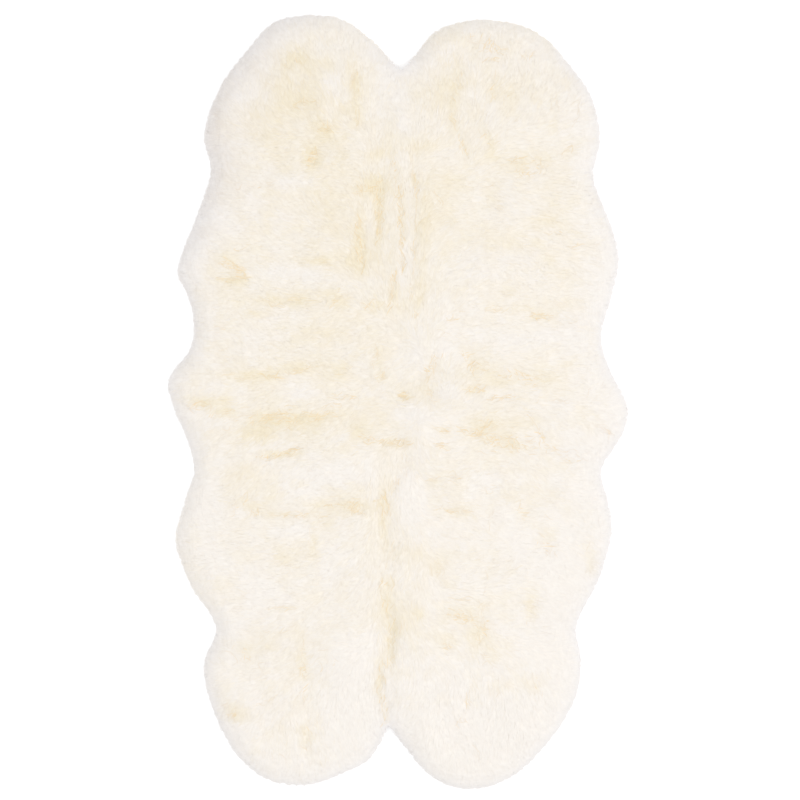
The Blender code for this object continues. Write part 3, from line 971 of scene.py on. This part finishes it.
def ribbons(locks):
    """The locks' corners, those corners' normals, and the way that each lock's upper side faces."""
    places = locks.path()
    slope_x = ground.at(ground.slope_x, places[..., 0], places[..., 1])
    slope_y = ground.at(ground.slope_y, places[..., 0], places[..., 1])
    up = unit(np.stack([-slope_x, -slope_y, np.ones(slope_x.shape)], axis=2))
    tangent = unit(np.gradient(places, axis=1), 1e-12)
    side = unit(np.cross(up, tangent), 1e-12)
    roll = locks.normal(0.1)[:, None, None]
    side = side * np.cos(roll) + up * np.sin(roll)
    face = 0.9 * up + 0.1 * np.cross(tangent, side)
    half = (locks.width[:, None] * np.array([row[1] for row in locks.kind]))[..., None] / 2
    left = places[:, :-1] - side[:, :-1] * half
    right = places[:, :-1] + side[:, :-1] * half
    points = np.concatenate([left, right, places[:, -1:]], axis=1)
    points[..., 2] = np.maximum(points[..., 2], 0.4 * MM)
    lean = 0.06 * side[:, :-1]
    normals = np.concatenate([face[:, :-1] - lean, face[:, :-1] + lean, face[:, -1:]], axis=1)
    return points, unit(normals), face


def look_of(locks, points, along):
    """What the material reads at each point: tone, place along the lock, warmth, and how much of the rim's
    painted shade shows.
    """
    look = np.empty((locks.count, len(along), 4))
    # Each tuft is a little whiter or creamier than the next.
    tone = whiteness(locks.seen_x, locks.seen_y) + 0.16 * cloud(locks.tuft_x, locks.tuft_y, 5 * MM, 62)
    tone = tone + locks.normal() * np.where(locks.top, 0.16, 0.03)
    look[..., 0] = np.clip(tone, 0, 1)[:, None]
    if locks.kind is STRAY:
        look[..., 1] = 1
        look[..., 2] = locks.bared[:, None]
    else:
        # Where the wool parts ways, its roots are bare and take little of the painted light that makes roots
        # paler, so they look no paler than the rest.
        look[..., 1] = 1 - (1 - along) * np.clip(1.3 * locks.firm, 0.15, 1)[:, None]
        here = np.sqrt(furrows(points[..., 0], points[..., 1]).warmth)
        look[..., 2] = locks.bared[:, None] * np.clip(1.6 * here, 0, 1)
    look[..., 3] = rim_painted_shade(locks.x, locks.y, locks.depth)[:, None]
    return look


def grow(pelt, count, kind, seed):
    """Locks of one kind: points, normals, looks, strand map, and each point's place across and along."""
    locks = Locks(pelt, count, kind, seed)
    points, normals, face = ribbons(locks)
    kept = unfolded(points, face, kind)
    along = np.concatenate([locks.share[:-1], locks.share[:-1], locks.share[-1:]])
    across = np.concatenate([np.zeros(len(kind)), np.ones(len(kind)), [0.5]])
    look = look_of(locks, points, along)
    strand = np.empty((locks.count, len(along), 2))
    strand[..., 0] = across * (locks.width / (4 * MM))[:, None] + locks.uniform((0, 60))[:, None]
    strand[..., 1] = along * (locks.length / (30 * MM))[:, None] + locks.uniform((0, 60))[:, None]
    return points[kept], normals[kept], look[kept], strand[kept], np.column_stack([across, along])


def unfolded(points, face, kind):
    """Which locks have no part that folds over and shows its back."""
    kept = np.ones(len(points), bool)
    for corners in faces_of(kind):
        for first in range(len(corners)):
            a, b, c = (points[:, corners[(first + k) % len(corners)]] for k in range(3))
            out = face[:, corners[0] % len(kind)]
            kept &= (np.cross(b - a, c - a) * out).sum(axis=1) > 0
    return kept


def faces_of(kind):
    """The corners of one lock's faces: four-sided ones and a pointed tip."""
    rows = len(kind)
    faces = [(k, k + 1, rows + k + 1, rows + k) for k in range(rows - 1)]
    return faces + [(rows - 1, 2 * rows, 2 * rows - 1)]


def lock_mesh(name, pelt, batches):
    """One mesh of all the locks in the batches, each a count, a kind and a seed."""
    points, normals, looks, strands, bakes, corners, sizes = [], [], [], [], [], [], []
    grown = [(kind, grow(pelt, count, kind, seed)) for count, kind, seed in batches]
    cells = math.ceil(math.sqrt(sum(len(found[0]) for _, found in grown)))
    locks = verts = 0
    for kind, (point, normal, look, strand, across_along) in grown:
        count, per_lock, _ = point.shape
        faces = faces_of(kind)
        pattern = np.concatenate(faces)
        corners.append((pattern[None, :] + verts + per_lock * np.arange(count)[:, None]).ravel())
        sizes.append(np.tile([len(f) for f in faces], count))
        # Each lock has its own cell of the map that its colours are baked to.
        number = locks + np.arange(count)
        bake = np.empty((count, per_lock, 2))
        bake[..., 0] = (number % cells)[:, None] + 0.12 + 0.76 * across_along[:, 0]
        bake[..., 1] = (number // cells)[:, None] + 0.08 + 0.84 * across_along[:, 1]
        batch = (point, normal, look, strand, bake / cells)
        for store, values in zip((points, normals, looks, strands, bakes), batch):
            store.append(values.reshape(-1, values.shape[-1]))
        locks += count
        verts += count * per_lock
    corners, sizes = np.concatenate(corners), np.concatenate(sizes)
    mesh = bpy.data.meshes.new(name)
    mesh.vertices.add(verts)
    mesh.vertices.foreach_set("co", np.concatenate(points).astype(np.float32).ravel())
    mesh.loops.add(len(corners))
    mesh.loops.foreach_set("vertex_index", corners.astype(np.int32))
    mesh.polygons.add(len(sizes))
    mesh.polygons.foreach_set("loop_start", np.concatenate([[0], np.cumsum(sizes)[:-1]]).astype(np.int32))
    mesh.update(calc_edges=True)
    mesh.polygons.foreach_set("use_smooth", np.ones(len(sizes), bool))
    set_layers(mesh, np.concatenate(looks), np.concatenate(strands), np.concatenate(bakes), corners)
    mesh.normals_split_custom_set_from_vertices(np.concatenate(normals).astype(np.float32))
    return mesh


def set_layers(mesh, look, strand, bake, corners):
    """What the material reads at each point, and the map that its colours are baked to."""
    for layer, values in (("strand", strand), ("OFBake", bake)):
        uv = mesh.uv_layers.new(name=layer)
        uv.data.foreach_set("uv", values[corners].astype(np.float32).ravel())
    attribute = mesh.attributes.new("wool", "FLOAT_COLOR", "POINT")
    attribute.data.foreach_set("color", look.astype(np.float32).ravel())
    mesh.uv_layers.active = mesh.uv_layers["strand"]
    mesh.uv_layers["strand"].active_render = True


# ---------------------------------------------------------------- undercoat and hide


def smooth_hem(hem, inset, lap=0.0):
    """A pelt's outline without the grooves of its rim locks, that far in from the rim and over the seams."""
    points = resampled(hem, 6 * MM)
    on_rim = ground.at(ground.seam, points[:, 0], points[:, 1]) > 5 * MM
    wide = sum(np.roll(points, k, axis=0) for k in (-2, -1, 0, 1, 2)) / 5
    points = np.where(on_rim[:, None], wide, points)
    way = np.roll(points, -1, axis=0) - np.roll(points, 1, axis=0)
    way /= np.linalg.norm(way, axis=1, keepdims=True) + 1e-12
    move = np.where(on_rim, -inset, lap)[:, None]
    return points + move * np.column_stack([way[:, 1], -way[:, 0]])


def undercoat_mesh(name, pelt):
    """The dense wool under the locks, as a surface over the pelt."""
    hem = smooth_hem(ground.hems[pelt], UNDERCOAT_INSET, UNDERCOAT_LAP)
    # A second ring, close inside the first, so that no gap between the locks at the rim looks deep.
    brow = smooth_hem(ground.hems[pelt], BROW_INSET)
    brow = brow[ground.at(ground.seam, brow[:, 0], brow[:, 1]) > 8 * MM]
    low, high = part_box(PELTS[pelt])
    x, y = (places.ravel() for places in staggered(low, high, UNDERCOAT_GRID))
    clear = (ground.nearest(ground.owner, x, y) == pelt) & (ground.at(ground.depth, x, y) > 8 * MM)
    clear &= ground.at(ground.seam, x, y) > 4 * MM
    flat = [Vector(p) for p in (*hem, *brow, *zip(x[clear], y[clear]))]
    edges = [(i, (i + 1) % len(hem)) for i in range(len(hem))]
    points, _, faces, made_of, _, _ = delaunay_2d_cdt(flat, edges, [], 1, 1e-7)
    place = np.array(points)
    number = np.array([min(rows, default=len(flat)) for rows in made_of])
    on_hem = number < len(hem)
    on_brow = ~on_hem & (number < len(hem) + len(brow))
    height = ground.at(ground.height, place[:, 0], place[:, 1])
    depth = ground.at(ground.depth, place[:, 0], place[:, 1])
    sink = UNDERCOAT_DEPTH * smoothstep(height, 3 * MM, 30 * MM) + 1.2 * MM
    rise = np.maximum(height - sink - np.where(on_brow, BROW_DEPTH, 0), 1.0 * MM)
    rise = np.where(on_hem & (depth < 5 * MM), np.minimum(rise, 2.2 * MM), rise)
    mesh = bpy.data.meshes.new(name)
    mesh.from_pydata(np.column_stack([place, rise]).tolist(), [], faces)
    mesh.shade_smooth()
    # The undercoat takes part of the roots' painted light, as 0.6 along a lock, and the rim's painted shade.
    look = np.column_stack(
        [
            np.clip(whiteness(place[:, 0], place[:, 1]), 0, 1),
            np.full(len(place), 0.6),
            0.4 * furrows(place[:, 0], place[:, 1]).warmth,
            rim_painted_shade(place[:, 0], place[:, 1], np.maximum(depth, 0)),
        ]
    )
    corners = np.empty(len(mesh.loops), np.int32)
    mesh.loops.foreach_get("vertex_index", corners)
    span = max(high[0] - low[0], high[1] - low[1])
    set_layers(mesh, look, place / (4 * MM), (place - np.array(low[:2])) / span * 0.98 + 0.01, corners)
    return mesh


def hide_mesh(name, pelt):
    """The hide under the wool, flat on the floor, and its outline."""
    hem = smooth_hem(ground.hems[pelt], HIDE_INSET)
    count = len(hem)
    points = [(x, y, z) for z in (0.0, HIDE_THICKNESS) for x, y in hem]
    bottom = tuple(reversed(range(count)))
    top = tuple(range(count, 2 * count))
    sides = [(k, (k + 1) % count, (k + 1) % count + count, k + count) for k in range(count)]
    mesh = bpy.data.meshes.new(name)
    mesh.from_pydata(points, [], [bottom, top, *sides])
    bm = bmesh.new()
    bm.from_mesh(mesh)
    bmesh.ops.triangulate(bm, faces=bm.faces[:])
    bm.to_mesh(mesh)
    bm.free()
    return mesh, hem


# ---------------------------------------------------------------- materials


class Nodes:
    """Short ways to make and link a material's nodes."""

    def __init__(self, name):
        self.material = bpy.data.materials.new(name)
        self.material.use_nodes = True
        self.tree = self.material.node_tree
        self.shader = self.tree.nodes["Principled BSDF"]

    def add(self, kind, **settings):
        node = self.tree.nodes.new(kind)
        for key, value in settings.items():
            setattr(node, key, value)
        return node

    def link(self, source, target):
        self.tree.links.new(source, target)

    def maths(self, operation, *values, clamp=False):
        node = self.add("ShaderNodeMath", operation=operation, use_clamp=clamp)
        for socket, value in zip(node.inputs, values):
            if isinstance(value, (int, float)):
                socket.default_value = value
            else:
                self.link(value, socket)
        return node.outputs[0]

    def mix(self, share, a, b, blend="MIX"):
        node = self.add("ShaderNodeMix", data_type="RGBA", blend_type=blend)
        for socket, value in zip((node.inputs[0], node.inputs[6], node.inputs[7]), (share, a, b)):
            if isinstance(value, (int, float)):
                socket.default_value = value
            elif isinstance(value, tuple):
                socket.default_value = (*value, 1.0)
            else:
                self.link(value, socket)
        return node.outputs[2]

    def noise(self, vector, scale, detail=2.0):
        node = self.add("ShaderNodeTexNoise")
        node.inputs["Scale"].default_value = scale
        node.inputs["Detail"].default_value = detail
        self.link(vector, node.inputs["Vector"])
        return node.outputs["Fac"]

    def bump(self, height, strength):
        """Fine relief on the surface."""
        node = self.add("ShaderNodeBump")
        node.inputs["Strength"].default_value = strength
        node.inputs["Distance"].default_value = 0.4 * MM
        self.link(height, node.inputs["Height"])
        self.link(node.outputs[0], self.shader.inputs["Normal"])

    def finish(self, colour, values):
        """Links the colour, sets the shader's other values and gives the material."""
        self.link(colour, self.shader.inputs["Base Color"])
        for name, value in values.items():
            self.shader.inputs[name].default_value = value
        return self.material


WHITE = (0.838, 0.785, 0.722)
CREAM = (0.79, 0.675, 0.445)
WARM = (0.79, 0.555, 0.25)
# The rim's more neutral wool with painted shade: a paler and a darker copy.
RIM_PAINTED_SHADE_PALE = (0.768, 0.742, 0.752)
RIM_PAINTED_SHADE_DARK = (0.64, 0.58, 0.56)
# Painted light that makes the roots of the locks paler, a little warm
ROOT_PAINTED_LIGHT = (1.02, 0.975, 0.905)
BUFF = (0.66, 0.55, 0.41)
PALE_BUFF = (0.76, 0.67, 0.53)
NAP = (0.58, 0.47, 0.34)
FLOOR = (0.93, 0.93, 0.93)
PALE_FLOOR = (0.945, 0.945, 0.945)


def wool_material(name, stretch):
    """Sheep's wool: whiter at the tips and creamier down in the fleece, with painted light that makes each
    lock paler towards its root, and fine fibres along each lock.
    """
    made = Nodes(name)
    read = made.add("ShaderNodeAttribute", attribute_name="wool")
    parts = made.add("ShaderNodeSeparateXYZ")
    made.link(read.outputs["Vector"], parts.inputs[0])
    tone, along, warm = parts.outputs
    # The alpha is how much of the rim's painted shade shows.
    rim = read.outputs["Alpha"]
    strand = made.add("ShaderNodeUVMap", uv_map="strand")
    scaled = made.add("ShaderNodeVectorMath", operation="MULTIPLY")
    scaled.inputs[1].default_value = stretch
    made.link(strand.outputs[0], scaled.inputs[0])
    fibre = made.noise(scaled.outputs[0], 1.0, 3.0)
    colour = made.mix(tone, CREAM, WHITE)
    # Towards the rim the wool turns more neutral and takes painted shade, darker where its tone is creamier.
    colour = made.mix(rim, colour, made.mix(tone, RIM_PAINTED_SHADE_DARK, RIM_PAINTED_SHADE_PALE))
    colour = made.mix(warm, colour, WARM)
    # Painted light: a lock is paler towards its root, where light finds its way down between the fibres.
    pale = made.add("ShaderNodeGamma")
    made.link(colour, pale.inputs["Color"])
    pale.inputs["Gamma"].default_value = 0.4
    pale = made.mix(1.0, pale.outputs[0], ROOT_PAINTED_LIGHT, "MULTIPLY")
    rootward = made.maths("MULTIPLY", made.maths("SUBTRACT", 1.0, along), 1.1, clamp=True)
    colour = made.mix(rootward, colour, pale)
    shade = made.maths("MULTIPLY_ADD", fibre, 0.08, 0.96)
    grey = made.add("ShaderNodeCombineColor")
    for socket in grey.inputs:
        made.link(shade, socket)
    colour = made.mix(1.0, colour, grey.outputs[0], "MULTIPLY")
    made.bump(fibre, 0.12)
    sheen = {"Sheen Weight": 0.08, "Sheen Roughness": 0.5}
    return made.finish(colour, {"Roughness": 0.9, "Specular IOR Level": 0.15, **sheen})


def hide_material(name):
    """The flesh side of a tanned hide: pale buff suede with a soft nap and faint pores."""
    made = Nodes(name)
    place = made.add("ShaderNodeTexCoord").outputs["Object"]
    broad = made.noise(place, 9.0, 4.0)
    nap = made.noise(place, 420.0, 3.0)
    colour = made.mix(broad, BUFF, PALE_BUFF)
    colour = made.mix(made.maths("MULTIPLY", nap, 0.35), colour, NAP)
    made.bump(nap, 0.3)
    return made.finish(colour, {"Roughness": 0.92, "Specular IOR Level": 0.2})


def floor_material(name):
    """A pale table lit from below, as used for cut-out photographs."""
    made = Nodes(name)
    place = made.add("ShaderNodeTexCoord").outputs["Object"]
    colour = made.mix(made.noise(place, 0.8), FLOOR, PALE_FLOOR)
    glow = {"Emission Color": (1.0, 1.0, 1.0, 1.0), "Emission Strength": 0.25}
    return made.finish(colour, {"Roughness": 0.95, "Specular IOR Level": 0.1, **glow})


# ---------------------------------------------------------------- pieces


def piece(mesh, pelt, material):
    """An object of the mesh, in the place of the pelt's solid."""
    obj = bpy.data.objects.new(mesh.name, mesh)
    bpy.context.scene.collection.objects.link(obj)
    mesh.materials.append(material)
    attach(obj, "root")
    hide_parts(PELTS[pelt])
    return obj


ground = Ground()
tuft_table = tufts(np.random.default_rng(9))
locks_look = wool_material("wool_locks", (6.0, 1.6, 1.0))
under_look = wool_material("wool_undercoat", (1.3, 1.3, 1.0))
hide_look = hide_material("hide_suede")
for pelt, node in enumerate(PELTS):
    place = node.replace("pelt_", "")
    crown_batches = (
        (CROWN_LOCKS, PLAIN, 100 + pelt),
        (CURLED_LOCKS, CURLED, 200 + pelt),
        (STRAY_LOCKS, STRAY, 400 + pelt),
    )
    rim_batches = ((RIM_LOCKS, HANGING, 300 + pelt),)
    under = piece(undercoat_mesh("undercoat_" + place, pelt), pelt, under_look)
    crown = piece(lock_mesh("crown_locks_" + place, pelt, crown_batches), pelt, locks_look)
    rim = piece(lock_mesh("rim_locks_" + place, pelt, rim_batches), pelt, locks_look)
    mesh, outline = hide_mesh("hide_" + place, pelt)
    hide = piece(mesh, pelt, hide_look)
    width, length = np.ptp(outline, axis=0)
    float(area_in(outline))

# ---------------------------------------------------------------- floor, light and camera

FLOOR_SIZE = 80
SKY_STRENGTH = 0.72
SOFTBOXES = (  # name, place, size, power
    ("softbox_above", (0.3, -0.6, 5.5), 3.0, 118),
    ("softbox_right", (7.0, 0.3, 6.4), 4.0, 120),
)
EYE = (4.7 * MM, 5.8 * MM, 4.402)
LENS = 85
VIEW_GAMMA = 1.5

bpy.ops.mesh.primitive_plane_add(size=FLOOR_SIZE)
floor = bpy.context.object
floor.name = "floor"
floor.data.materials.append(floor_material("pale_floor"))

world = bpy.data.worlds.new("studio")
bpy.context.scene.world = world
world.use_nodes = True
sky = world.node_tree.nodes["Background"]
sky.inputs["Color"].default_value = (1.0, 1.0, 1.0, 1.0)
sky.inputs["Strength"].default_value = SKY_STRENGTH

for name, place, size, power in SOFTBOXES:
    light = bpy.data.lights.new(name, "AREA")
    light.size = size
    light.energy = power
    lamp = bpy.data.objects.new(name, light)
    bpy.context.scene.collection.objects.link(lamp)
    lamp.location = place
    # It looks at the middle of the rug.
    lamp.rotation_euler = (-lamp.location).to_track_quat("-Z", "Y").to_euler()

camera = bpy.data.cameras.new("camera")
camera.lens = LENS
camera.sensor_width = 36
eye = bpy.data.objects.new("camera", camera)
bpy.context.scene.collection.objects.link(eye)
eye.location = EYE
bpy.context.scene.camera = eye

# The photograph is high-key: exposed for a white ground, with its lights drawn together.
bpy.context.scene.view_settings.view_transform = "Standard"
bpy.context.scene.view_settings.gamma = VIEW_GAMMA
bpy.context.scene.cycles.max_bounces = 16
bpy.context.scene.cycles.diffuse_bounces = 8
